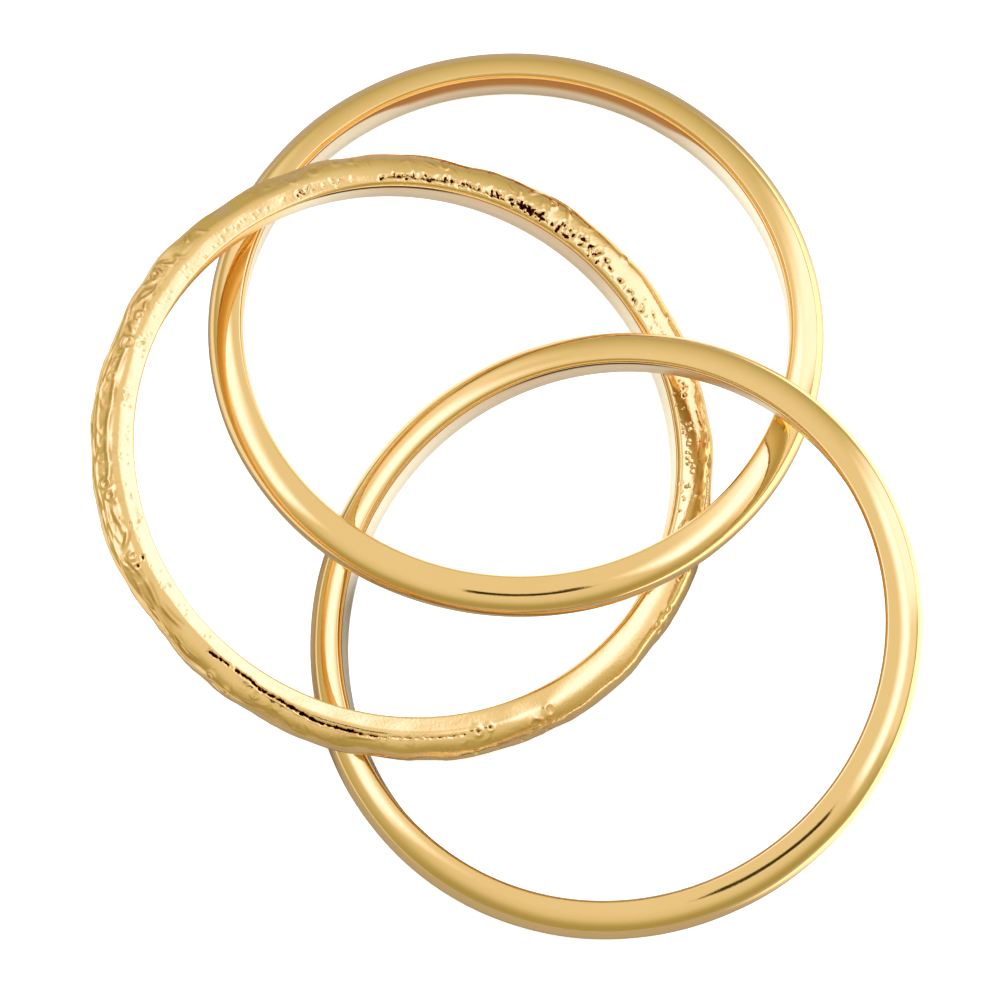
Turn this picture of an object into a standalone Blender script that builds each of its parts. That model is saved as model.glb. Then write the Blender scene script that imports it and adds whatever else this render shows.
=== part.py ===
"""An interlocked ring: two plain, polished bands and one with a cast, organic relief, each linked through the others.

The set lies on the plane Z = 0 as it would on a table. Every band touches the table at one side and lies over
another band at two crossings, so its axis leans a little. The origin is the middle of the set's footprint.
"""

import math

import bpy
from mathutils import Vector

MM = 0.001

# Driving dimensions, in millimetres
INNER_DIAMETER = 18.2
BAND_WIDTH = 1.6
BAND_THICKNESS = 1.16
EDGE_RADIUS = 0.12
RELIEF_HEIGHT = 0.22
CROSSING_GAP = 0.12

INNER = INNER_DIAMETER / 2
HALF = BAND_WIDTH / 2
MEAN = INNER + BAND_THICKNESS / 2

TOP, TEXTURED, LOWER = "top_band", "textured_band", "lower_band"

# How the set lies: each band's centre in plan, as shares of a band's mean radius
CENTRES = {TOP: (0.059, 0.540), TEXTURED: (-0.324, 0.079), LOWER: (0.404, -0.556)}
# The way each axis leans, as shares of the lean that stacks one band's width, and a gap, over the inner radius
LEANS = {TOP: (0.282, 0.592), TEXTURED: (0.996, -0.226), LOWER: (-0.752, -0.357)}

# The relief's slow swells, as shares of its height at even steps round the band
SWELLS = (0.70, 0.75, 0.80, 0.65, 0.25, 0.55, 0.35, 0.70, 0.50, 0.95, 0.85, 0.05, 0.30, 0.50, 0.75, 0.90, 0.90, 0.85)
# Its lumps: waves round the band, waves across it, where the waves start, and share of the relief's height
LUMPS = ((13, 2, 0.4, 0.12), (22, 3, 1.9, 0.10), (31, 2, 3.1, 0.08))

PLAIN_STEPS = 96
RELIEF_STEPS = 144
DOME_STEPS = 9
EDGE_STEPS = 2

GOLD = (0.83, 0.56, 0.21, 1)
POLISHED_ROUGHNESS = 0.08
CAST_ROUGHNESS = 0.16


def material(name, roughness):
    made = bpy.data.materials.new(name)
    made.use_nodes = True
    shader = made.node_tree.nodes["Principled BSDF"]
    shader.inputs["Base Color"].default_value = GOLD
    shader.inputs["Metallic"].default_value = 1
    shader.inputs["Roughness"].default_value = roughness
    return made


def arc(centre, across, up, first, last, steps):
    """Points of an ellipse's arc between two angles in radians, both ends included."""
    angles = [first + (last - first) * i / steps for i in range(steps + 1)]
    return [(centre[0] + across * math.cos(a), centre[1] + up * math.sin(a)) for a in angles]


def section():
    """The D section as (radius, height) points: down the domed outside, then up the inner wall with its round edges."""
    end, quarter = math.acos(EDGE_RADIUS / BAND_THICKNESS), math.pi / 2
    dome = arc((INNER, 0), BAND_THICKNESS, HALF, end, -end, DOME_STEPS)
    radius, level = INNER + EDGE_RADIUS, dome[0][1] - EDGE_RADIUS
    lower = arc((radius, -level), EDGE_RADIUS, EDGE_RADIUS, -quarter, -2 * quarter, EDGE_STEPS)
    upper = arc((radius, level), EDGE_RADIUS, EDGE_RADIUS, 2 * quarter, quarter, EDGE_STEPS)
    return dome + lower[1:] + upper[:-1]


def turned_band(name, steps):
    """The D section turned about the band's own axis, with the object's origin at the band's centre."""
    points = section()
    mesh = bpy.data.meshes.new(name)
    edges = [(i, (i + 1) % len(points)) for i in range(len(points))]
    mesh.from_pydata([(MM * radius, 0, MM * height) for radius, height in points], edges, [])
    band = bpy.data.objects.new(name, mesh)
    screw = band.modifiers.new("Turn", "SCREW")
    screw.steps = screw.render_steps = steps
    screw.use_merge_vertices = True
    screw.merge_threshold = 1e-7
    return band


def relief_share(heading, across):
    """The relief's height at a heading round the band and a place across it, from -1 to 1, as a share of the most."""
    place = heading / math.tau % 1 * len(SWELLS)
    here, blend = int(place), (1 - math.cos(math.pi * (place % 1))) / 2
    swell = SWELLS[here % len(SWELLS)] * (1 - blend) + SWELLS[(here + 1) % len(SWELLS)] * blend
    lumps = 0
    for turns, waves, start, share in LUMPS:
        lumps += share * math.sin(turns * heading + start) * math.cos(waves * across + start)
    return min(max(swell + lumps, 0), 1)


def cast_relief(band):
    """Makes the turned band a mesh and swells its dome outwards; the inner wall stays round."""
    bpy.context.view_layer.update()
    mesh = bpy.data.meshes.new_from_object(band.evaluated_get(bpy.context.evaluated_depsgraph_get()))
    band.modifiers.clear()
    band.data = mesh
    for vertex in mesh.vertices:
        x, y, z = vertex.co / MM
        radius = math.hypot(x, y)
        share = relief_share(math.atan2(y, x), z / HALF)
        swollen = INNER + (radius - INNER) * (1 + share * RELIEF_HEIGHT / BAND_THICKNESS)
        vertex.co = MM * Vector((x * swollen / radius, y * swollen / radius, z))


def lay_down(band, reach):
    """Leans a band by its shares and stands its lowest point on the table; reach is from its inner wall outwards."""
    stack = (BAND_WIDTH + CROSSING_GAP) / INNER
    lean = stack * Vector(LEANS[band.name])
    upright = math.sqrt(1 - lean.length_squared)
    band.rotation_mode = "QUATERNION"
    band.rotation_quaternion = Vector((0, 0, 1)).rotation_difference(Vector((*lean, upright)))
    height = lean.length * INNER + math.hypot(lean.length * reach, upright * HALF)
    x, y = MEAN * Vector(CENTRES[band.name])
    band.location = MM * Vector((x, y, height))


def centre_on_origin(root, bands):
    """Moves the root so that the set's box stands on the origin with the middle of its base."""
    bpy.context.view_layer.update()
    graph = bpy.context.evaluated_depsgraph_get()
    points = []
    for band in bands:
        evaluated = band.evaluated_get(graph)
        points += [evaluated.matrix_world @ vertex.co for vertex in evaluated.to_mesh().vertices]
        evaluated.to_mesh_clear()
    low = Vector(map(min, zip(*points)))
    high = Vector(map(max, zip(*points)))
    root.location = (-(low.x + high.x) / 2, -(low.y + high.y) / 2, -low.z)


def build():
    for leftover in list(bpy.data.objects):
        bpy.data.objects.remove(leftover, do_unlink=True)
    collection = bpy.data.collections.new("interlocked_ring")
    bpy.context.scene.collection.children.link(collection)
    root = bpy.data.objects.new("ring_set", None)
    collection.objects.link(root)

    polished = material("polished_gold", POLISHED_ROUGHNESS)
    plain = [turned_band(name, PLAIN_STEPS) for name in (TOP, LOWER)]
    for band in plain:
        collection.objects.link(band)
        band.data.materials.append(polished)
        lay_down(band, BAND_THICKNESS)

    textured = turned_band(TEXTURED, RELIEF_STEPS)
    collection.objects.link(textured)
    cast_relief(textured)
    textured.data.materials.append(material("cast_gold", CAST_ROUGHNESS))
    lay_down(textured, BAND_THICKNESS + RELIEF_HEIGHT)

    bands = [*plain, textured]
    for band in bands:
        band.parent = root
    centre_on_origin(root, bands)


build()
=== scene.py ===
# %% [markdown]
# # Three linked gold bands
#
# The real object is a ring for one finger, made of three round gold bands that are linked through each
# other. Two bands are plain and polished like a mirror. The third was cast with an organic relief: slow
# swells, worm-like ridges, rows of small pits and one long crack.
#
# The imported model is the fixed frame. It says where each band lies and how it turns, so nothing here is
# fitted by eye: the first cell measures each band's centre and axis from its own mesh, and every later cell
# builds on them.

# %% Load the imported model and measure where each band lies
import math

import bpy
import numpy as np
from mathutils import Matrix, Vector


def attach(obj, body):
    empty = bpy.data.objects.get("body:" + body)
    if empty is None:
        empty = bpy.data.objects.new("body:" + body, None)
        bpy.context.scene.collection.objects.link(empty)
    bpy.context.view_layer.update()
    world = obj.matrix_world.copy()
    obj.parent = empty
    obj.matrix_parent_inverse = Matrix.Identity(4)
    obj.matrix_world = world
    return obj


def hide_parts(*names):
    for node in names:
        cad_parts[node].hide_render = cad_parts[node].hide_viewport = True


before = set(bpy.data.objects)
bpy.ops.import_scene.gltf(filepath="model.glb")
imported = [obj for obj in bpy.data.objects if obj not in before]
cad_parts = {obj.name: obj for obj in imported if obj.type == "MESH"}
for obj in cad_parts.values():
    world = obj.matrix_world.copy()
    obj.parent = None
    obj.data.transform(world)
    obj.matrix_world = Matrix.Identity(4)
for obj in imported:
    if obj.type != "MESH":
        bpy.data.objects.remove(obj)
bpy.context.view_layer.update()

MM = 0.001
BODIES = {"top_band": "top", "lower_band": "lower", "textured_band": "textured"}
PLAIN_BANDS = ("top_band", "lower_band")
CAST_BAND = "textured_band"
WALL_MARGIN = 0.02


def centre_and_axis(points):
    """The middle of some points and the direction in which they spread least, turned to point up."""
    centre = points.mean(axis=0)
    axis = np.linalg.svd(points - centre, full_matrices=False)[2][2]
    return centre, axis * np.sign(axis[2])


def measure(node):
    """A band's inner radius, centre and axis in millimetres, from its inner wall, which is round."""
    points = np.array([vertex.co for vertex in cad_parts[node].data.vertices]) / MM
    points = np.unique(points.round(5), axis=0)
    centre, axis = centre_and_axis(points)
    for _ in range(3):
        away = points - centre
        radius = np.linalg.norm(away - np.outer(away @ axis, axis), axis=1)
        centre, axis = centre_and_axis(points[radius < radius.min() + WALL_MARGIN])
    return radius.min(), Vector(centre), Vector(axis)


PLACES = {node: measure(node) for node in BODIES}
for node, (radius, centre, axis) in PLACES.items():
    print(f"{node}: inner radius {radius:.3f} mm, centre {tuple(round(x, 3) for x in centre)} mm")

# %% [markdown]
# ## The section that all three bands share
#
# Each band is D-shaped in section: half an ellipse outside, a flat wall inside, and small round edges
# between them. A jeweller draws such wire through a plate, bends it round and solders it, and then the
# edges are only broken with a file. Five sizes say it all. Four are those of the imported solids, and the
# fifth makes the inner edges a little higher than they are deep, as the file leaves them.

# %% The section's sizes, in millimetres
INNER = PLACES["top_band"][0]
THICKNESS = 1.16
HALF_WIDTH = 0.80
EDGE_RADIUS = 0.12
EDGE_HEIGHT = 0.155
DOME_END = math.acos(EDGE_RADIUS / THICKNESS)
WALL_HALF = HALF_WIDTH * math.sin(DOME_END) - EDGE_HEIGHT
print(f"the dome ends {math.degrees(DOME_END):.1f} degrees up, the flat wall is {2 * WALL_HALF:.2f} mm wide")

# %% [markdown]
# ## A small kit for node trees
#
# Every tree below, for shapes and for finishes alike, is made of the same three steps: add a node, set its
# inputs, link them. One helper does all three, so that a tree reads from top to bottom like a recipe. Four
# more stand for what comes up most often: a step of arithmetic, a ramp, a soft ramp and a mix of two
# colours.

# %% Helpers for nodes


def add(tree, kind, inputs=None, **settings):
    """Adds a node. Each input is given a value, or a socket that it is linked to."""
    made = tree.nodes.new(kind)
    for name, value in settings.items():
        setattr(made, name, value)
    for name, value in (inputs or {}).items():
        if isinstance(value, bpy.types.NodeSocket):
            tree.links.new(value, made.inputs[name])
        else:
            made.inputs[name].default_value = value
    return made


def calc(tree, operation, first, second=0.0):
    """One step of arithmetic."""
    return add(tree, "ShaderNodeMath", {0: first, 1: second}, operation=operation).outputs[0]


def ramp(tree, value, start, end, low=0.0, high=1.0, **settings):
    """A value that goes from low to high as another one goes from start to end."""
    return add(tree, "ShaderNodeMapRange", {
        "Value": value, "From Min": start, "From Max": end, "To Min": low, "To Max": high,
    }, **settings).outputs[0]


def soft_ramp(tree, value, start, end, high=1.0):
    """A ramp from 0 to high that starts and ends softly."""
    return ramp(tree, value, start, end, 0.0, high, interpolation_type="SMOOTHSTEP")


def mixed(tree, share, first, second):
    """A colour that goes from the first to the second as the share goes from 0 to 1."""
    mix = add(tree, "ShaderNodeMix", {0: share, 6: first, 7: second}, data_type="RGBA")
    return mix.outputs[2]


# %% [markdown]
# ## The band, swept by Geometry Nodes
#
# A band's shape follows one rule: the D section, carried round a circle. It could be turned with a Screw
# modifier or lofted in mesh code. Geometry Nodes suit it better, because the four arcs and lines of the
# section stay visible as nodes with named sizes, and the same tree makes all three bands. Each arc is swept
# as a strip of its own, and Merge by Distance closes the strips into one skin.

# %% The tree that sweeps a band


def swept_band_tree():
    tree = bpy.data.node_groups.new("swept_band", "GeometryNodeTree")
    tree.interface.new_socket("Band", in_out="OUTPUT", socket_type="NodeSocketGeometry")
    for name in ("Inner Radius", "Thickness", "Half Width", "Edge Radius", "Edge Height", "Dome End",
                 "Wall Half"):
        tree.interface.new_socket(name, in_out="INPUT", socket_type="NodeSocketFloat")
    for name in ("Steps Round", "Steps Across", "Edge Steps"):
        tree.interface.new_socket(name, in_out="INPUT", socket_type="NodeSocketInt")
    tree.interface.new_socket("Finish", in_out="INPUT", socket_type="NodeSocketMaterial")
    size = add(tree, "NodeGroupInput").outputs

    def placed_arc(points, start, sweep, along, up, wide, high):
        """Part of an ellipse with the given half axes, about a centre that lies along and up from the origin."""
        arc = add(tree, "GeometryNodeCurveArc", {
            "Resolution": points, "Radius": 1.0, "Start Angle": start, "Sweep Angle": sweep})
        return add(tree, "GeometryNodeTransform", {
            "Geometry": arc.outputs["Curve"],
            "Translation": add(tree, "ShaderNodeCombineXYZ", {"X": along, "Y": up}).outputs[0],
            "Scale": add(tree, "ShaderNodeCombineXYZ", {"X": wide, "Y": high, "Z": 1.0}).outputs[0],
        }).outputs[0]

    quarter = math.pi / 2
    low_end = calc(tree, "MULTIPLY", size["Dome End"], -1.0)
    full_turn = calc(tree, "MULTIPLY", size["Dome End"], 2.0)
    wall_low = calc(tree, "MULTIPLY", size["Wall Half"], -1.0)
    edge, edge_height = size["Edge Radius"], size["Edge Height"]
    thick, wide = size["Thickness"], size["Half Width"]
    dome = placed_arc(size["Steps Across"], low_end, full_turn, 0.0, 0.0, thick, wide)
    upper = placed_arc(size["Edge Steps"], quarter, quarter, edge, size["Wall Half"], edge, edge_height)
    lower = placed_arc(size["Edge Steps"], 2 * quarter, quarter, edge, wall_low, edge, edge_height)
    wall = add(tree, "GeometryNodeCurvePrimitiveLine", {
        "Start": add(tree, "ShaderNodeCombineXYZ", {"Y": size["Wall Half"]}).outputs[0],
        "End": add(tree, "ShaderNodeCombineXYZ", {"Y": wall_low}).outputs[0],
    }).outputs[0]
    section = add(tree, "GeometryNodeJoinGeometry")
    for part in (dome, upper, wall, lower):
        tree.links.new(part, section.inputs[0])

    rail = add(tree, "GeometryNodeCurvePrimitiveCircle", {
        "Resolution": size["Steps Round"], "Radius": size["Inner Radius"]})
    swept = add(tree, "GeometryNodeCurveToMesh", {
        "Curve": rail.outputs["Curve"], "Profile Curve": section.outputs[0]})
    skin = add(tree, "GeometryNodeMergeByDistance", {"Geometry": swept.outputs[0], "Distance": 1e-7})
    smooth = add(tree, "GeometryNodeSetShadeSmooth", {"Geometry": skin.outputs[0]})
    real = add(tree, "GeometryNodeRealizeInstances", {"Geometry": smooth.outputs[0]})
    finished = add(tree, "GeometryNodeSetMaterial", {"Geometry": real.outputs[0], "Material": size["Finish"]})
    add(tree, "NodeGroupOutput", {"Band": finished.outputs[0]})
    return tree


SWEPT_BAND = swept_band_tree()

# %% Sweep a band and keep it as a plain mesh


def swept_band(name, finish, steps_round, steps_across, edge_steps):
    """A band about the Z axis, centred on the origin. Inputs are set by their sockets' identifiers."""
    band = bpy.data.objects.new(name, bpy.data.meshes.new(name))
    bpy.context.scene.collection.objects.link(band)
    sweep = band.modifiers.new("Sweep", "NODES")
    sweep.node_group = SWEPT_BAND
    values = {
        "Inner Radius": INNER * MM, "Thickness": THICKNESS * MM, "Half Width": HALF_WIDTH * MM,
        "Edge Radius": EDGE_RADIUS * MM, "Edge Height": EDGE_HEIGHT * MM, "Dome End": DOME_END,
        "Wall Half": WALL_HALF * MM,
        "Steps Round": steps_round, "Steps Across": steps_across + 1, "Edge Steps": edge_steps + 1,
        "Finish": finish,
    }
    for socket in SWEPT_BAND.interface.items_tree:
        if socket.in_out == "INPUT":
            sweep[socket.identifier] = values[socket.name]
    graph = bpy.context.evaluated_depsgraph_get()
    mesh = bpy.data.meshes.new_from_object(band.evaluated_get(graph), depsgraph=graph)
    mesh.name = name
    band.modifiers.clear()
    band.data = mesh
    return band


# %% [markdown]
# ## Measures on a band's skin
#
# Relief, UV maps and polishing lines all need to know where a point lies on the band: its heading round the
# ring, its angle up the dome, and how far across it is in millimetres. They are worked out from the points
# themselves, so they hold for any number of steps.

# %% Headings, dome angles and lengths
DOME_STEPS = 720
DOME_ANGLES = np.linspace(math.pi / 2, -math.pi / 2, DOME_STEPS + 1)
STEP_LENGTHS = math.pi / DOME_STEPS * np.hypot(
    THICKNESS * np.sin(DOME_ANGLES), HALF_WIDTH * np.cos(DOME_ANGLES))
ACROSS_LENGTHS = np.concatenate([[0], np.cumsum((STEP_LENGTHS[1:] + STEP_LENGTHS[:-1]) / 2)])
# Lengths along the band are measured where the dome is this share of its thickness high
CREST_SHARE = 0.8
CREST_RADIUS = INNER + CREST_SHARE * THICKNESS


def read_points(mesh):
    points = np.empty(len(mesh.vertices) * 3)
    mesh.vertices.foreach_get("co", points)
    return points.reshape(-1, 3) / MM


def write_points(mesh, points):
    mesh.vertices.foreach_set("co", (points * MM).ravel())
    mesh.update()


def write_attributes(mesh, **attributes):
    for name, values in attributes.items():
        mesh.attributes.new(name, "FLOAT", "POINT").data.foreach_set("value", values.astype(np.float32))


def across_length(dome_angle):
    """Millimetres over the dome from its top edge down to a dome angle in radians."""
    return np.interp(-dome_angle, -DOME_ANGLES, ACROSS_LENGTHS)


def skin_measures(points):
    """Radius from the axis, heading and dome angle of each point, the angles in radians."""
    radius = np.hypot(points[:, 0], points[:, 1])
    heading = np.arctan2(points[:, 1], points[:, 0]) % math.tau
    dome_angle = np.arctan2(points[:, 2] / HALF_WIDTH, np.maximum(radius - INNER, 1e-6) / THICKNESS)
    return radius, heading, dome_angle


def add_uv(mesh, points):
    """A UV map in millimetres: u along the band, v across it. Faces on the seam run on past the full turn."""
    _, heading, dome_angle = skin_measures(points)
    corners = np.empty(len(mesh.loops), int)
    mesh.loops.foreach_get("vertex_index", corners)
    u = heading[corners].reshape(-1, 4)
    on_seam = np.ptp(u, axis=1) > math.pi
    u[on_seam] += (u[on_seam] < math.pi) * math.tau
    v = across_length(dome_angle)[corners]
    uv = mesh.uv_layers.new(name="UVMap")
    uv.data.foreach_set("uv", np.stack([u.ravel() * CREST_RADIUS, v], axis=1).ravel())


def smooth_step(value, start, end):
    share = np.clip((value - start) / (end - start), 0, 1)
    return share * share * (3 - 2 * share)


def between(degrees, rise, fall):
    """From 0 to 1 and back as headings pass through two spans, each given as (start, end) in degrees."""
    return smooth_step(degrees, *rise) * (1 - smooth_step(degrees, *fall))


print(f"the dome is {ACROSS_LENGTHS[-1]:.2f} mm long from edge to edge")

# %% [markdown]
# ## The inner walls and their edges
#
# The inside of a band is finished apart from its outside. It is turned or scraped and then finished with a
# brush, so it is satin where the dome is a mirror. Light and shade are painted onto it round the ring: a
# warm, deep painted reflection of gold below the edge, tan painted shade where it lies in the shade of the
# others, pale painted light where the table lights it, and a thin painted dark line under the edge at a few
# headings. The mesh carries these painted looks as attributes, worked out from headings, and the finish
# reads them. The round inner edges were broken with a file, so each is pressed flatter into a narrow bevel.

# %% Mark the inner walls and break their edges
BEVEL = 0.75
# How fast the painted light and shade change down the wall: within a fifth of its width, or over all of it where
# it is deep
NARROW_RATE, WIDE_RATE = 5.0, 1.0
# How far out the wall's painted light and shade and the satin wall reach, as shares of the edge's radius
WALL_REACH, SATIN_REACH = 0.9, 0.1
# Headings between which each look fades in, and between which it fades out again, in degrees
WALLS = {
    "top_band": {"deep": ((34, 58), (112, 134)), "tan": ((30, 66), (96, 150))},
    "lower_band": {"tan": ((50, 66), (108, 150)), "line": ((74, 84), (104, 118))},
    "textured_band": {
        "golden": ((110, 124), (340, 358)), "tan": ((24, 50), (92, 120)), "line": ((76, 86), (106, 114))},
}


def mark_wall(mesh, node):
    """Attributes for how far down the inner wall a point lies, and which painted light and shade the wall takes at
    its heading.
    """
    points = read_points(mesh)
    radius, heading, _ = skin_measures(points)
    looks = {look: np.zeros(len(points)) for look in ("golden", "deep", "tan", "line")}
    for look, spans in WALLS[node].items():
        looks[look] = between(np.degrees(heading), *spans)
    inside = np.clip((WALL_HALF - points[:, 2]) / (2 * WALL_HALF), 0, 1)
    inside *= NARROW_RATE + (WIDE_RATE - NARROW_RATE) * looks["deep"]
    inside[radius > INNER + EDGE_RADIUS * WALL_REACH] = 0
    satin = (radius < INNER + EDGE_RADIUS * SATIN_REACH) & (np.abs(points[:, 2]) < WALL_HALF + 0.001)
    # These attributes say where the wall takes its painted light and shade, besides its satin roughness
    write_attributes(
        mesh, inside=inside, satin=satin, brushed=1 - looks["golden"], tan=looks["tan"], line=looks["line"])


def break_edges(mesh):
    """Files the round inner edges flatter, so that each shows as a narrow bevel."""
    points = read_points(mesh)
    radius = np.hypot(points[:, 0], points[:, 1])
    run, rise = (radius - INNER) / EDGE_RADIUS, (np.abs(points[:, 2]) - WALL_HALF) / EDGE_HEIGHT
    on_edge = (run < 0.999) & (rise > 0.001)
    share = np.arctan2(rise, 1 - run) / (math.pi / 2)
    run = np.where(on_edge, run + BEVEL * (share - run), run)
    rise = np.where(on_edge, rise + BEVEL * (share - rise), rise)
    points[:, :2] *= ((INNER + run * EDGE_RADIUS) / radius)[:, None]
    points[:, 2] = np.sign(points[:, 2]) * (WALL_HALF + rise * EDGE_HEIGHT)
    write_points(mesh, points)


for node, looks in WALLS.items():
    print(f"{node}: the inner wall is marked as {', '.join(looks)}")

# %% [markdown]
# ## The cast band's slow swells
#
# The cast band is thicker in some places than in others, which is what its wavy outline shows. The swells
# are a short row of heights round the band, blended into each other, with three sets of shallow lumps on
# top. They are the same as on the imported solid, so the two never drift apart.

# %% Swells and lumps
RELIEF_HEIGHT = 0.22
# The swells' heights at even steps round the band, as shares of the relief's height
SWELLS = (
    0.70, 0.75, 0.80, 0.65, 0.25, 0.55, 0.35, 0.70, 0.50,
    0.95, 0.85, 0.05, 0.30, 0.50, 0.75, 0.90, 0.90, 0.85,
)
# Waves round the band, waves across it, where they start, and their share of the relief's height
LUMPS = ((13, 2, 0.4, 0.12), (22, 3, 1.9, 0.10), (31, 2, 3.1, 0.08))


def swell_share(heading, level):
    """The swells' height at a heading and a level from -1 to 1 across the band, as a share of the most."""
    place = heading / math.tau * len(SWELLS)
    here = np.floor(place).astype(int)
    blend = (1 - np.cos(math.pi * (place - here))) / 2
    heights = np.array(SWELLS)
    share = heights[here % len(SWELLS)] * (1 - blend) + heights[(here + 1) % len(SWELLS)] * blend
    for turns, waves, start, part in LUMPS:
        share = share + part * np.sin(turns * heading + start) * np.cos(waves * level + start)
    return np.clip(share, 0, 1)


print(f"the swells stand {min(SWELLS) * RELIEF_HEIGHT:.2f} to {max(SWELLS) * RELIEF_HEIGHT:.2f} mm high")

# %% [markdown]
# ## The fine relief: pits, rings, worms and cracks
#
# The caster's wax was worked with a warm tool, which leaves marks of a few kinds only. A pit is a dent with
# a faint rim, a ring is a small round wall, a worm is a short bent ridge, and a crack is a groove along a
# path. Each kind is one function that adds to a height in millimetres over the skin. Where a single mark
# can be told apart, it has its place in a table; where they crowd, a zone says how many there are and a
# fixed seed scatters them. The hollow beside a high ridge is marked for painted shade, a darker and warmer
# tint, and the pits and cracks are marked for a dark painted shade.

# %% A skin that can be marked
# The height of a ridge in millimetres beside which the hollow takes its painted shade in full
FULL_HOLLOW = 0.026
CRACK_STEP = 0.35


class Skin:
    """The cast band's dome as heights in millimetres, with a dark painted shade from 0 to 1 for what lies deep,
    and a painted shade for hollows.
    """

    def __init__(self, heading, dome_angle):
        self.u = heading * CREST_RADIUS
        self.v = across_length(dome_angle)
        self.height = np.zeros(len(heading))
        self.dark = np.zeros(len(heading))
        self.hollow = np.zeros(len(heading))

    def near(self, heading, dome_angle, reach, turn=0.0):
        """The points within reach of a spot, and their distances from it along and across a direction."""
        around = math.tau * CREST_RADIUS
        u = (self.u - math.radians(heading) * CREST_RADIUS + around / 2) % around - around / 2
        v = self.v - across_length(math.radians(dome_angle))
        found = np.flatnonzero((np.abs(u) < reach) & (np.abs(v) < reach))
        u, v = u[found], v[found]
        cosine, sine = math.cos(turn), math.sin(turn)
        return found, u * cosine + v * sine, v * cosine - u * sine

    def pit(self, heading, dome_angle, size, depth, dark=0.0, stretch=1.0, turn=0.0):
        found, along, across = self.near(heading, dome_angle, 3 * size * max(stretch, 1), turn)
        distance = np.hypot(along / stretch, across) / size
        rim, dent = 0.25 * np.exp(-((distance - 1.4) / 0.4) ** 2), np.exp(-distance ** 4)
        self.height[found] += depth * (rim - dent)
        # Dark painted shade in the dent
        self.dark[found] = np.maximum(self.dark[found], dark * np.exp(-(distance / 0.9) ** 4))

    def ring(self, heading, dome_angle, size, wall, height):
        found, along, across = self.near(heading, dome_angle, size + 3 * wall)
        distance = np.hypot(along, across)
        self.height[found] += height * np.exp(-((distance - size) / wall) ** 2)
        self.shade(found, 0.5 * height, (distance / size) ** 2)

    def worm(self, heading, dome_angle, length, width, height, bend=0.0, turn=0.0):
        found, along, across = self.near(heading, dome_angle, length + 3 * width, turn)
        across = across - bend * along ** 2
        self.height[found] += height * np.exp(-(across / width) ** 2 - (2 * along / length) ** 4)
        self.shade(found, height, np.hypot((np.abs(across) / width - 1.5) / 0.8, (2 * along / length) ** 2))

    def shade(self, found, height, distance):
        """Paints shade into a hollow, the more the higher its ridge; distance is 0 in the middle of the hollow."""
        share = min(height / FULL_HOLLOW, 1) * np.exp(-distance ** 2)
        self.hollow[found] = np.maximum(self.hollow[found], share)

    def crack(self, path, width, depth, dark, random):
        """A groove along (heading, dome angle) points, with a ragged edge."""
        points = np.array(path, float)
        steps = int(abs(points[-1, 0] - points[0, 0]) / CRACK_STEP) + 2
        headings = np.linspace(points[0, 0], points[-1, 0], steps)
        angles = np.interp(headings, points[:, 0], points[:, 1]) + random.normal(0, 0.4, steps)
        sizes = width * random.uniform(0.72, 1.12, steps)
        groove = np.zeros(len(self.height))
        for heading, angle, size in zip(headings, angles, sizes):
            found, along, across = self.near(heading, angle, 3 * size)
            groove[found] = np.maximum(groove[found], np.exp(-(np.hypot(along * 0.8, across) / size) ** 4))
        self.height -= depth * groove
        # Dark painted shade along the groove
        self.dark = np.maximum(self.dark, dark * groove)


# %% The marks that can be told apart, and the zones where they crowd
# heading, dome angle, size, wall, height
RINGS = (
    (44, 36, 0.13, 0.05, 0.030), (60.8, 46, 0.12, 0.05, 0.035), (83, 44.5, 0.14, 0.05, 0.030),
    (101, 38, 0.11, 0.05, 0.030), (104, 38, 0.10, 0.05, 0.028), (108.5, 42, 0.19, 0.05, 0.032),
    (113, 52, 0.10, 0.06, 0.030), (118, 38, 0.10, 0.05, 0.025), (146, 36, 0.14, 0.05, 0.035),
    (155, 53, 0.12, 0.05, 0.032), (161, 53, 0.21, 0.055, 0.042), (168, 42, 0.11, 0.05, 0.022),
    (171.6, 74, 0.12, 0.05, 0.028), (189, 42, 0.14, 0.055, 0.036), (191.5, 46, 0.13, 0.05, 0.032),
    (204, 52, 0.12, 0.05, 0.028), (231, 22, 0.13, 0.06, 0.032), (235, 19, 0.11, 0.05, 0.026),
    (240, 50, 0.12, 0.05, 0.022), (284.5, 58.5, 0.13, 0.06, 0.026), (287, 60, 0.10, 0.05, 0.022),
    (295.8, 43, 0.13, 0.06, 0.018), (299.5, 54, 0.18, 0.06, 0.022), (327, 40, 0.12, 0.06, 0.018),
    (330.7, 38, 0.12, 0.06, 0.018),
)
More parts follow.
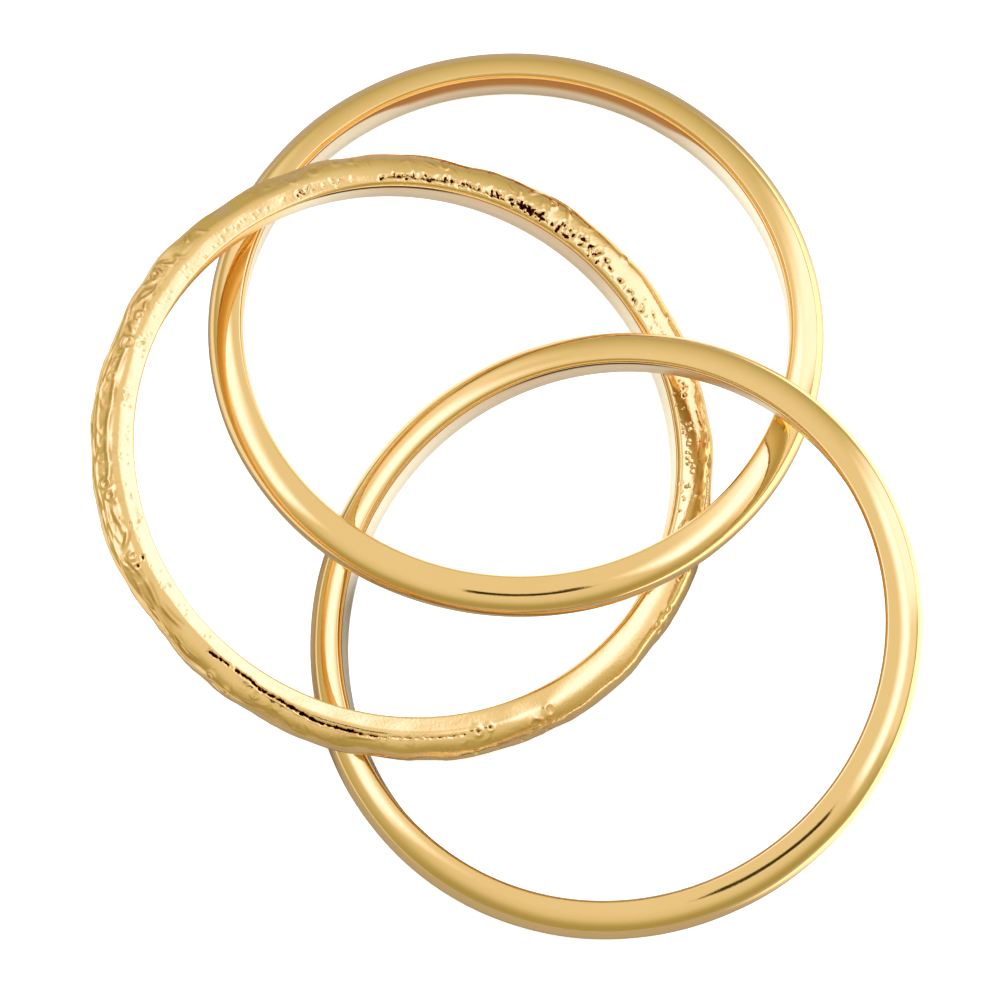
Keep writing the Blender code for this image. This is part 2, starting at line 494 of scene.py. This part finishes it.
# heading, dome angle, length, width, height, bend, turn in degrees
WORMS = (
    (134, 45, 0.42, 0.045, 0.036, 0.3, 62), (136.5, 36, 0.34, 0.045, 0.030, 0.2, -50),
    (143.5, 40, 0.36, 0.05, 0.036, 0.5, 70), (145, 33, 0.40, 0.05, 0.034, -0.5, -60),
    (148, 36, 0.44, 0.05, 0.036, 0.4, 50), (150.5, 50, 0.50, 0.05, 0.038, 0.5, 25),
    (152.8, 54, 0.36, 0.045, 0.032, -0.6, -20), (157.5, 47, 0.40, 0.05, 0.034, 0.5, -35),
    (165, 51, 0.80, 0.05, 0.030, 0.05, 4), (171, 51.5, 0.90, 0.05, 0.034, 0.05, -3),
    (177, 50, 0.95, 0.05, 0.036, -0.05, 3), (183, 50.5, 0.85, 0.05, 0.036, 0.05, -4),
    (187.5, 50, 0.60, 0.05, 0.032, 0.2, 8), (196, 47, 0.70, 0.055, 0.034, -0.2, -12),
    (200.5, 53, 0.55, 0.05, 0.030, 0.4, 28), (206, 46, 0.80, 0.05, 0.028, 0.2, -14),
    (212, 49, 0.90, 0.055, 0.030, 0.2, 10), (218, 51, 1.00, 0.06, 0.028, -0.1, -6),
    (223, 33, 0.80, 0.05, 0.026, 0.1, 8), (57.5, 41, 0.40, 0.05, 0.034, 0.5, 60),
    (65, 41, 0.44, 0.05, 0.034, -0.4, -40), (67.5, 58, 0.34, 0.045, 0.026, 0.0, 80),
    (86, 48, 0.40, 0.05, 0.028, 0.4, 20), (9, 46, 0.80, 0.05, 0.034, 0.1, -8),
    (5, 38, 0.60, 0.05, 0.030, 0.2, 15), (297, 47, 0.44, 0.05, 0.032, 0.6, 40),
    (262, 49, 1.00, 0.05, 0.020, 0.05, -6), (30, 34, 0.36, 0.06, 0.040, 0.0, 70),
)
# heading, dome angle, size, depth, darkness
PITS = (
    (160, 74, 0.055, 0.045, 0.35), (205, 64, 0.060, 0.080, 1.0), (205.6, 62.5, 0.045, 0.070, 1.0),
    (206.2, 51, 0.050, 0.080, 1.0), (284.8, 57, 0.060, 0.080, 0.9), (287.2, 59.5, 0.050, 0.070, 0.9),
    (14, 68, 0.050, 0.060, 0.9), (15.2, 66, 0.040, 0.055, 0.8), (16.4, 64, 0.045, 0.060, 0.9),
    (284, 14, 0.080, 0.080, 0.8), (288, 8, 0.070, 0.070, 0.8), (293, 10, 0.080, 0.080, 0.8),
    (298, 12, 0.060, 0.070, 0.8),
)
# path of (heading, dome angle), width, depth, darkness
CRACKS = (
    (((228, 58.5), (230.4, 62), (232.5, 64.5)), 0.038, 0.09, 1.3),
    (((234.3, 65.4), (237.5, 66.4), (240.5, 62), (245, 62), (250, 57), (252.5, 54.4), (255, 53.4),
      (260, 54.4)), 0.039, 0.10, 1.35),
    (((260, 54.4), (262.5, 52), (265, 53.4)), 0.032, 0.07, 1.1),
    (((265, 53.4), (270, 57.0), (275, 57), (282, 56)), 0.024, 0.035, 0.75),
    (((197.9, 76), (198.1, 64)), 0.035, 0.05, 0.25),
    (((60, 80), (63, 77), (67, 76)), 0.040, 0.07, 0.95),
    (((70, 79), (76, 77), (78, 75)), 0.032, 0.06, 0.85),
    (((80, 74), (84, 76), (91, 75), (96, 78)), 0.034, 0.07, 0.95),
    (((337, 47), (343, 41), (347, 36), (352, 33), (358, 30)), 0.050, 0.09, 0.55),
)
# kind, headings, dome angles, how many, sizes, heights, darkness
ZONES = (
    ("gouge", (33, 44), (72, 83), 14, (0.045, 0.070), (0.01, 0.03), 0.85),
    ("gouge", (44, 58), (67, 84), 44, (0.045, 0.080), (0.015, 0.04), 1.0),
    ("gouge", (58, 69), (72, 84), 34, (0.045, 0.080), (0.015, 0.04), 1.0),
    ("gouge", (69, 96), (71, 82), 46, (0.045, 0.070), (0.01, 0.03), 0.9),
    ("gouge", (99, 116), (73, 82), 10, (0.045, 0.070), (0.01, 0.03), 0.9),
    ("pit", (116, 140), (72, 83), 24, (0.040, 0.060), (0.006, 0.014), 0.3),
    ("pit", (140, 228), (66, 84), 60, (0.035, 0.055), (0.003, 0.008), 0.2),
    ("pit", (345, 375), (66, 84), 30, (0.040, 0.060), (0.010, 0.020), 0.5),
    ("worm", (96, 122), (34, 52), 18, (0.040, 0.055), (0.006, 0.014), 0),
    ("worm", (140, 200), (32, 56), 50, (0.040, 0.055), (0.007, 0.016), 0),
    ("worm", (200, 300), (30, 50), 36, (0.045, 0.060), (0.004, 0.010), 0),
    ("worm", (50, 95), (34, 56), 24, (0.040, 0.055), (0.006, 0.014), 0),
    ("worm", (340, 378), (20, 54), 40, (0.040, 0.060), (0.008, 0.020), 0),
    ("wrinkle", (150, 250), (-60, 34), 220, (0.036, 0.056), (0.008, 0.020), 0),
    ("wrinkle", (250, 345), (-60, 22), 130, (0.040, 0.060), (0.006, 0.016), 0),
    ("wrinkle", (345, 510), (-60, 26), 200, (0.040, 0.060), (0.005, 0.014), 0),
    ("gouge", (14, 36), (60, 80), 44, (0.040, 0.065), (0.008, 0.022), 0.62),
)


# A wrinkle is a long worm that runs nearly along the band: it turns by this share of what a worm may
WRINKLE_TURN = 0.12
print(f"{len(RINGS)} rings, {len(WORMS)} worms, {len(PITS)} pits and {len(CRACKS)} cracks have their own places")
print(f"{sum(zone[3] for zone in ZONES)} more marks are scattered over {len(ZONES)} zones")


def scatter(skin, random):
    for kind, headings, angles, count, sizes, heights, dark in ZONES:
        for _ in range(count):
            heading, angle = random.uniform(*headings), random.uniform(*angles)
            size, height = random.uniform(*sizes), random.uniform(*heights)
            turn = random.uniform(-math.pi / 2, math.pi / 2)
            if kind == "gouge":
                dark_share, stretch = random.uniform(0.3, 1), random.uniform(1, 3)
                skin.pit(heading, angle, size, height, dark * dark_share, stretch, turn)
            elif kind == "pit":
                skin.pit(heading, angle, size, height, dark)
            elif kind == "worm":
                length, bend = random.uniform(0.2, 0.5), random.uniform(-2, 2)
                skin.worm(heading, angle, length, size, height, bend, turn)
            else:
                length, bend = random.uniform(0.5, 1.4), random.uniform(-0.3, 0.3)
                skin.worm(heading, angle, length, size, height, bend, turn * WRINKLE_TURN)


def marked_skin(heading, dome_angle):
    random = np.random.default_rng(7)
    skin = Skin(heading, dome_angle)
    for heading, angle, size, wall, height in RINGS:
        skin.ring(heading, angle, size, wall, height)
    for heading, angle, length, width, height, bend, turn in WORMS:
        skin.worm(heading, angle, length, width, height, bend, math.radians(turn))
    for heading, angle, size, depth, dark in PITS:
        skin.pit(heading, angle, size, depth, dark)
    for path, width, depth, dark in CRACKS:
        skin.crack(path, width, depth, dark, random)
    scatter(skin, random)
    return skin


# %% [markdown]
# ## The gold
#
# All three bands are the same warm yellow gold. What differs is the surface: the plain bands were polished
# to a mirror, and show only hairlines from the buff along the band. The cast band was polished over its
# relief, so it is a little duller and grainier. Its hollows take a darker, redder painted shade, and its
# pits and cracks a dark painted shade with a ragged edge. The inner walls take the painted light and shade
# that were marked on the mesh, and the satin of the brush. Gold is a metal, so elsewhere its colour is the
# tint of its reflections, and the rest comes from the lights.

# %% Gold finishes
GOLD = (1.0, 0.743, 0.386, 1)
DEEP_GOLD = (0.97, 0.70, 0.335, 1)
# Painted shade in the hollows beside ridges, and how much of it they take
PAINTED_HOLLOW_SHADE = (0.66, 0.38, 0.12, 1)
HOLLOW_SHADE_SHARE = 0.6
# Dark painted shade in the pits and cracks, and how much rougher it makes them
PAINTED_PIT_SHADE = (0.070, 0.012, 0.004, 1)
PIT_SHADE_DULLNESS = 0.35
HOLE_DEPTH = 0.03
SATIN_ROUGHNESS = 0.42
# Painted light and shade on the inner wall: a painted reflection of gold under the edge, then painted shade or
# painted table light, and a thin painted dark line
PAINTED_GOLD_REFLECTION = (0.46, 0.235, 0.075, 1)
PAINTED_WALL_SHADE = (0.66, 0.53, 0.36, 1)
PAINTED_TABLE_LIGHT = (0.96, 0.89, 0.70, 1)
PAINTED_EDGE_SHADE = (0.05, 0.03, 0.02, 1)
# Depths down the wall: where its painted tones begin, where the painted reflection of gold gives way to painted
# shade or painted light, and where the painted line fades out
TONES_FULL, GOLD_REFLECTION_TO_LIGHT_OR_SHADE, LINE_FADE = 0.03, (0.36, 0.60), (1.0, 0.5)
# Scales of the drift of colour, the uneven gloss, the grain and the pits' ragged edges, per millimetre
DRIFT_SCALE, GLOSS_SCALE, GRAIN_SCALE, RAGGED_SCALE = 0.35, 2.2, 9.0, 8.0
HAIRLINE_SCALE = (0.25, 24.0, 1.0)
# The gloss goes between these shares of a finish's roughness over this span of its noise
GLOSS_SHARES, GLOSS_SPAN = (0.75, 1.3), (0.3, 0.7)
# Noise times the swing plus the shift makes the pits' depth uneven, and the painted shade lies where it is this
# deep
RAGGED_SWING, RAGGED_SHIFT, PIT_SHADE_SPAN = 3.0, -0.5, (0.46, 0.66)


def noise(tree, place, scale, detail):
    return add(tree, "ShaderNodeTexNoise", {"Vector": place, "Scale": scale, "Detail": detail}).outputs[0]


def attribute(tree, name):
    return add(tree, "ShaderNodeAttribute", attribute_name=name).outputs["Fac"]


def gold_colour(tree, drift, pit_shade):
    """Gold whose colour drifts, with painted light and shade on the inner wall, and painted shade in the hollows,
    pits and cracks.
    """
    inside = attribute(tree, "inside")
    # Painted light and shade on the inner wall: painted table light or painted shade, a painted reflection of gold
    # under the edge, and a painted dark line
    brushed = mixed(tree, attribute(tree, "tan"), PAINTED_TABLE_LIGHT, PAINTED_WALL_SHADE)
    wall = mixed(tree, ramp(tree, inside, *GOLD_REFLECTION_TO_LIGHT_OR_SHADE), PAINTED_GOLD_REFLECTION, brushed)
    on_wall = calc(tree, "MULTIPLY", ramp(tree, inside, 0.0, TONES_FULL), attribute(tree, "brushed"))
    toned = mixed(tree, on_wall, mixed(tree, drift, GOLD, DEEP_GOLD), wall)
    under_edge = calc(tree, "MULTIPLY", on_wall, ramp(tree, inside, *LINE_FADE))
    lined = mixed(tree, calc(tree, "MULTIPLY", under_edge, attribute(tree, "line")), toned, PAINTED_EDGE_SHADE)
    # Painted shade in the hollows, then dark painted shade in the pits and cracks
    hollow_shade = calc(tree, "MULTIPLY", attribute(tree, "hollow"), HOLLOW_SHADE_SHARE)
    return mixed(tree, pit_shade, mixed(tree, hollow_shade, lined, PAINTED_HOLLOW_SHADE), PAINTED_PIT_SHADE)


def gold_finish(name, roughness, hairline_height, grain_height):
    """Gold with uneven gloss, hairlines along the band, a fine grain and ragged pits; heights in millimetres."""
    made = bpy.data.materials.new(name)
    made.use_nodes = True
    tree = made.node_tree
    tree.nodes.clear()
    shader = add(tree, "ShaderNodeBsdfPrincipled", {"Metallic": 1.0})
    add(tree, "ShaderNodeOutputMaterial", {"Surface": shader.outputs[0]})

    place = add(tree, "ShaderNodeTexCoord").outputs
    in_mm = add(tree, "ShaderNodeMapping", {"Vector": place["Object"], "Scale": (1 / MM,) * 3}).outputs[0]
    drawn = add(tree, "ShaderNodeMapping", {"Vector": place["UV"], "Scale": HAIRLINE_SCALE}).outputs[0]
    ragged = calc(tree, "MULTIPLY", noise(tree, place["UV"], RAGGED_SCALE, 3.0), RAGGED_SWING)
    ragged_depth = calc(tree, "MULTIPLY", attribute(tree, "dark"), calc(tree, "ADD", ragged, RAGGED_SHIFT))
    pit_shade = ramp(tree, ragged_depth, *PIT_SHADE_SPAN)
    colour = gold_colour(tree, noise(tree, in_mm, DRIFT_SCALE, 2.0), pit_shade)
    tree.links.new(colour, shader.inputs["Base Color"])

    least, most = (roughness * share for share in GLOSS_SHARES)
    gloss = ramp(tree, noise(tree, in_mm, GLOSS_SCALE, 4.0), *GLOSS_SPAN, least, most)
    dull = calc(tree, "MULTIPLY", pit_shade, PIT_SHADE_DULLNESS)
    satin = calc(tree, "MULTIPLY", attribute(tree, "satin"), SATIN_ROUGHNESS)
    rough = calc(tree, "MAXIMUM", calc(tree, "ADD", gloss, dull), satin)
    tree.links.new(rough, shader.inputs["Roughness"])

    hairlines, grain = noise(tree, drawn, 1.0, 2.0), noise(tree, in_mm, GRAIN_SCALE, 3.0)
    lines = add(tree, "ShaderNodeBump", {
        "Height": hairlines, "Strength": 1.0, "Distance": hairline_height * MM})
    grains = add(tree, "ShaderNodeBump", {
        "Height": grain, "Strength": 1.0, "Distance": grain_height * MM, "Normal": lines.outputs[0]})
    holes = add(tree, "ShaderNodeBump", {
        "Height": ragged_depth, "Strength": 1.0, "Distance": HOLE_DEPTH * MM, "Normal": grains.outputs[0],
    }, invert=True)
    tree.links.new(holes.outputs[0], shader.inputs["Normal"])
    print(f"{name}: roughness {least:.3f} to {most:.3f}, {len(tree.nodes)} nodes")
    return made


POLISHED_GOLD = gold_finish("polished_gold_finish", 0.07, 0.0006, 0.0006)
CAST_GOLD = gold_finish("cast_gold_finish", 0.11, 0.0005, 0.004)

# %% [markdown]
# ## Laying a band in its place
#
# A finished piece sits at the origin with its place in its mesh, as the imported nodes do. So the band's
# points are leaned from the Z axis onto the measured axis and moved to the measured centre, and the object
# itself never moves.

# %% Place a band and hand it to its body


def lay_in_place(band, node):
    _, centre, axis = PLACES[node]
    lean = Vector((0, 0, 1)).rotation_difference(axis).to_matrix().to_4x4()
    band.data.transform(Matrix.Translation(centre * MM) @ lean)
    band.data.update()
    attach(band, BODIES[node])
    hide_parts(node)
    print(f"{band.name}: {len(band.data.polygons)} faces, rides on {BODIES[node]}")


# %% [markdown]
# ## The two plain bands
#
# A band that was rounded and polished by hand is never quite true. Waves a few thousandths of a millimetre
# high are enough to make the reflections wander as they do on the real ones, and a mirror-smooth surface
# without them looks computer-made. Finer streaks along the band, from the buff, break up the edges of the
# highlights.

# %% Make the plain bands
# Steps round the band, across the dome, and round each inner edge
PLAIN_STEPS = (480, 64, 8)
# Height in millimetres, how many waves, whole turns round the band, and waves across the dome
WANDER = (0.004, 14, (3, 22), (0.5, 2.5))
STREAKS = (0.0008, 8, (-2, 3), (7, 16))


def waves(random, heading, dome_angle, height, count, turns, across):
    """Random sine waves over the skin that add up to about the given height."""
    wave = np.zeros(len(heading))
    for _ in range(count):
        along, aside, start = random.integers(*turns), random.uniform(*across), random.uniform(0, math.tau)
        wave += np.sin(along * heading + aside * dome_angle + start)
    return height * wave / math.sqrt(count)


def wander(mesh, seed):
    """Moves the skin in and out by slow waves and fine streaks."""
    random = np.random.default_rng(seed)
    points = read_points(mesh)
    radius, heading, dome_angle = skin_measures(points)
    slow = waves(random, heading, dome_angle, *WANDER)
    fine = waves(random, heading, dome_angle, *STREAKS)
    points[:, :2] *= ((radius + (slow + fine) * np.cos(dome_angle)) / radius)[:, None]
    write_points(mesh, points)


for seed, node in enumerate(PLAIN_BANDS):
    band = swept_band(node + "_skin", POLISHED_GOLD, *PLAIN_STEPS)
    mark_wall(band.data, node)
    break_edges(band.data)
    wander(band.data, seed)
    add_uv(band.data, read_points(band.data))
    lay_in_place(band, node)

# %% [markdown]
# ## The cast band
#
# The same swept band, with many more steps, so that a pit of a tenth of a millimetre is a real dent in the
# mesh. The upper side was hammered or filed after casting. Over part of the band it is a nearly flat land
# along the inner edge, and beyond that a slope falls outwards, and both meet the dome in a soft shoulder.
# The points are flattened so, then swollen outwards like the imported solid, and last moved along the
# section's own direction by the height of the fine relief and of soft ripples, which make the reflections
# wobble. The painted shade of each point, dark in the pits and cracks and warmer in the hollows, stays on
# the mesh for the finish to read.

# %% Flatten the cast band's upper side
# The land: its level at the inner wall, and its rise outwards
LAND_LEVEL, LAND_SLOPE = 0.664, 0.128
# The outer slope: its level at the inner wall if it went on that far, and its fall outwards
SLOPE_LEVEL, SLOPE_FALL = 1.32, 1.0
SHOULDER = 0.012
# Only what lies higher than this above the band's middle plane is flattened
UPPER_SIDE = 0.05
# Headings between which the land and the slope fade in, and between which they fade out again, in degrees
LAND_SPANS = ((92, 118), (282, 312))
SLOPE_SPANS = ((92, 118), (198, 226))


def hammered_top(points, radius, heading):
    """Levels of the points after the land and the outer slope cut the upper side, with soft shoulders."""
    run, degrees = radius - INNER, np.degrees(heading)
    land, slope = LAND_LEVEL + LAND_SLOPE * run, SLOPE_LEVEL - SLOPE_FALL * run
    level = points[:, 2]
    for form, spans in ((land, LAND_SPANS), (slope, SLOPE_SPANS)):
        lowered = -SHOULDER * np.logaddexp(-level / SHOULDER, -form / SHOULDER)
        level = level + between(degrees, *spans) * (lowered - level)
    return np.where(points[:, 2] > UPPER_SIDE, level, points[:, 2])


# %% Make the cast band
CAST_STEPS = (1200, 66, 4)
RIPPLES = (0.005, 26, (12, 46), (-4, 4))
RIPPLE_SEED = 3
# The relief fades out over this angle towards the dome's edges
EDGE_FADE = math.radians(7)


def cast_relief(mesh):
    points = read_points(mesh)
    radius, heading, dome_angle = skin_measures(points)
    on_dome = radius > INNER + 0.5 * EDGE_RADIUS
    share = swell_share(heading, points[:, 2] / HALF_WIDTH)
    points[:, 2] = hammered_top(points, radius, heading)
    swollen = INNER + (radius - INNER) * (1 + share * RELIEF_HEIGHT / THICKNESS)

    skin = marked_skin(heading, dome_angle)
    height = skin.height + waves(np.random.default_rng(RIPPLE_SEED), heading, dome_angle, *RIPPLES)
    height *= on_dome * smooth_step(DOME_END - np.abs(dome_angle), 0, EDGE_FADE)
    outward, upward = np.cos(dome_angle) / THICKNESS, np.sin(dome_angle) / HALF_WIDTH
    length = np.hypot(outward, upward)
    points[:, :2] *= ((swollen + height * outward / length) / radius)[:, None]
    points[:, 2] += height * upward / length
    write_points(mesh, points)
    # The painted shade of the pits, cracks and hollows, for the finish to read
    write_attributes(mesh, dark=skin.dark * on_dome, hollow=skin.hollow * on_dome)
    print(f"relief from {height.min():.3f} to {height.max():.3f} mm over the swells")


band = swept_band(CAST_BAND + "_skin", CAST_GOLD, *CAST_STEPS)
mark_wall(band.data, CAST_BAND)
break_edges(band.data)
add_uv(band.data, read_points(band.data))
cast_relief(band.data)
lay_in_place(band, CAST_BAND)

# %% [markdown]
# ## The table and the backdrop
#
# The ring lies on a plain white table, a large disc on which its soft contact shadows fall. The camera sees
# it as white paper with a little fill of light. The polished bands mirror it too, and there a table in a
# tent is uneven: dim around the ring, brighter further out to the right and a little to the left, and
# bright inside the top band's hole, where light bounces between the inner walls. These pools of light are
# painted: the paper itself glows there, and only the reflections see it. So the paper has one brightness
# for the camera and another for reflections.

# %% Floor
FLOOR_RADIUS = 2.0
FLOOR_CORNERS = 128
PAPER_WHITE, PAPER_IN_MIRRORS = 0.86, 0.36
FILL = 0.35
# The painted light in the top band's hole, and how far from the hole's middle it is full and it ends, in
# millimetres
HOLE_LIGHT, INSIDE, OUTSIDE = 0.42, 8.4, 10.4
# The painted pools of light to the right and to the left, in millimetres: where each begins, where it is full, and
# how bright
POOLS = ((8.5, 15.0, 0.75), (-12.0, -18.0, 0.28))
# How far to the front and back the pools are full, and where they end
POOL_INSIDE, POOL_OUTSIDE = 19.0, 28.0


def paper_material():
    made = bpy.data.materials.new("white_table")
    made.use_nodes = True
    tree = made.node_tree
    tree.nodes.clear()
    place = add(tree, "ShaderNodeTexCoord").outputs["Object"]
    hole = PLACES["top_band"][1]
    away = add(tree, "ShaderNodeVectorMath", {
        0: place, 1: (hole.x * MM, hole.y * MM, 0)}, operation="DISTANCE").outputs["Value"]
    # Painted pools of light: the paper glows in the top band's hole and to the right and left, and only
    # reflections see it
    within = soft_ramp(tree, away, OUTSIDE * MM, INSIDE * MM, HOLE_LIGHT)
    axes = add(tree, "ShaderNodeSeparateXYZ", {0: place}).outputs
    right, left = (soft_ramp(tree, axes["X"], start * MM, full * MM, bright) for start, full, bright in POOLS)
    endways = soft_ramp(tree, calc(tree, "ABSOLUTE", axes["Y"]), POOL_OUTSIDE * MM, POOL_INSIDE * MM)
    pool = calc(tree, "ADD", within, calc(tree, "MULTIPLY", calc(tree, "ADD", right, left), endways))

    seen = add(tree, "ShaderNodeLightPath").outputs["Is Camera Ray"]
    matt = add(tree, "ShaderNodeBsdfDiffuse", {"Color": ramp(tree, seen, 0.0, 1.0, PAPER_IN_MIRRORS, PAPER_WHITE)})
    glow = add(tree, "ShaderNodeEmission", {"Strength": ramp(tree, seen, 0.0, 1.0, pool, FILL)})
    lit = add(tree, "ShaderNodeAddShader", {0: matt.outputs[0], 1: glow.outputs[0]})
    add(tree, "ShaderNodeOutputMaterial", {"Surface": lit.outputs[0]})
    return made


turns = np.linspace(0, math.tau, FLOOR_CORNERS + 1)[:-1]
corners = [(FLOOR_RADIUS * math.cos(turn), FLOOR_RADIUS * math.sin(turn), 0) for turn in turns]
floor_mesh = bpy.data.meshes.new("table")
floor_mesh.from_pydata(corners, [], [list(range(len(corners)))])
floor_mesh.materials.append(paper_material())
floor = bpy.data.objects.new("table", floor_mesh)
bpy.context.scene.collection.objects.link(floor)
print(f"the table is a disc {2 * FLOOR_RADIUS:.0f} m across")

# %% [markdown]
# ## The studio
#
# Polished metal shows the room rather than itself, so the room is what gives this picture its look. The
# picture was taken in a light tent: a soft bright roof, a large softbox to the right and another to the
# left, darker tent walls in front and behind, and the dark lens looking in. All of it is one dome of light
# in the world's shader, in which every part has a name, a direction and a soft edge. The tent's cloth is
# warm where it is dim and cool where the lamps stand behind it, so the tint follows the brightness.

# %% A dome of light
ROOF, WALL = 0.60, 0.41
# Heights from the horizon, 0, to straight up, 1, between which the walls give way to the roof
WALL_HEIGHT, ROOF_HEIGHT = 0.10, 0.86
# Brightness and its tint
TINTS = ((0.34, (1.0, 0.97, 0.60)), (0.60, (1.0, 1.0, 0.98)), (1.08, (0.93, 0.94, 1.38)))
# name, azimuth of its middle, half its width, lowest and highest elevation, soft edge, brightness; in degrees
WINDOWS = (
    ("front shade", -95, 60, -20, 28, 16, 0.35),
    ("right glow", 18, 36, 8, 44, 7, 0.68),
    ("right strip", 32, 16, -20, 40, 6, 0.98),
    ("right softbox", 10, 44, 41, 63, 8, 1.08),
    ("left glow", 132, 16, 14, 40, 8, 0.66),
    ("left softbox", 163, 33, 34, 57, 7, 1.04),
    ("lens", -76, 26, 61, 68, 1.5, 0.05),
)


def window(tree, direction, azimuth, half, low, high, soft):
    """How much of a direction lies inside a soft-edged window, from 0 to 1. Angles in degrees."""
    turned = add(tree, "ShaderNodeVectorRotate", {
        "Vector": direction, "Angle": -math.radians(azimuth)}, rotation_type="Z_AXIS").outputs[0]
    axes = add(tree, "ShaderNodeSeparateXYZ", {0: turned}).outputs
    sideways = calc(tree, "DEGREES", calc(tree, "ABSOLUTE", calc(tree, "ARCTAN2", axes["Y"], axes["X"])))
    upward = calc(tree, "DEGREES", calc(tree, "ARCSINE", axes["Z"]))
    across = soft_ramp(tree, sideways, half + soft, half - soft)
    above = soft_ramp(tree, upward, low - soft, low + soft)
    below = soft_ramp(tree, upward, high + soft, high - soft)
    return calc(tree, "MULTIPLY", across, calc(tree, "MULTIPLY", above, below))


def light_tent():
    made = bpy.data.worlds.new("light_tent")
    made.use_nodes = True
    tree = made.node_tree
    tree.nodes.clear()
    direction = add(tree, "ShaderNodeTexCoord").outputs["Generated"]
    height = add(tree, "ShaderNodeSeparateXYZ", {0: direction}).outputs["Z"]
    light = ramp(tree, height, WALL_HEIGHT, ROOF_HEIGHT, WALL, ROOF)
    for name, azimuth, half, low, high, soft, brightness in WINDOWS:
        share = window(tree, direction, azimuth, half, low, high, soft)
        light = ramp(tree, share, 0.0, 1.0, light, brightness)
        print(f"{name}: brightness {brightness} at azimuth {azimuth}")

    brightest = TINTS[-1][0]
    tint = add(tree, "ShaderNodeValToRGB", {0: calc(tree, "DIVIDE", light, brightest)})
    tint.color_ramp.elements.new(0.5)
    for element, (brightness, colour) in zip(tint.color_ramp.elements, TINTS):
        element.position = brightness / brightest
        element.color = (*colour, 1)
    background = add(tree, "ShaderNodeBackground", {"Color": tint.outputs[0], "Strength": light})
    add(tree, "ShaderNodeOutputWorld", {"Surface": background.outputs[0]})
    return made


bpy.context.scene.world = light_tent()

# %% A soft lamp for the table alone
LAMP_SIZE, LAMP_HEIGHT, LAMP_WATTS = 1.2, 1.2, 9.0

lamp = bpy.data.lights.new("table_lamp", "AREA")
lamp.shape = "DISK"
lamp.size = LAMP_SIZE
lamp.energy = LAMP_WATTS
lamp_object = bpy.data.objects.new("table_lamp", lamp)
lamp_object.location = (0, 0, LAMP_HEIGHT)
lamp_object.visible_glossy = False
lamp_object.visible_camera = False
bpy.context.scene.collection.objects.link(lamp_object)
print(f"the lamp hangs {LAMP_HEIGHT} m over the table, and only the table shows it")

# %% [markdown]
# ## The camera
#
# The photograph was taken with a long lens from about 72 degrees above the table, from in front. A very
# long lens far away keeps the three circles as round as the photograph shows them. The view is brightened
# and given more contrast, as product pictures are.

# %% Camera
SENSOR = 36.0
LENS_LENGTH = 504.0
DISTANCE = 0.4665
TARGET = Vector((-0.323, 0.095, 0)) * MM
TOWARDS_CAMERA = Vector((0.0293, -0.2986, 0.9539)).normalized()

camera_data = bpy.data.cameras.new("camera")
camera_data.sensor_width = SENSOR
camera_data.lens = LENS_LENGTH
camera_data.clip_start = 0.01
camera = bpy.data.objects.new("camera", camera_data)
camera.location = TARGET + DISTANCE * TOWARDS_CAMERA
camera.rotation_mode = "QUATERNION"
camera.rotation_quaternion = Vector((0, 0, 1)).rotation_difference(TOWARDS_CAMERA)
bpy.context.scene.collection.objects.link(camera)
bpy.context.scene.camera = camera
bpy.context.scene.view_settings.view_transform = "Standard"
bpy.context.scene.view_settings.look = "High Contrast"
print(f"the camera is {math.degrees(math.asin(TOWARDS_CAMERA.z)):.1f} degrees above the table")
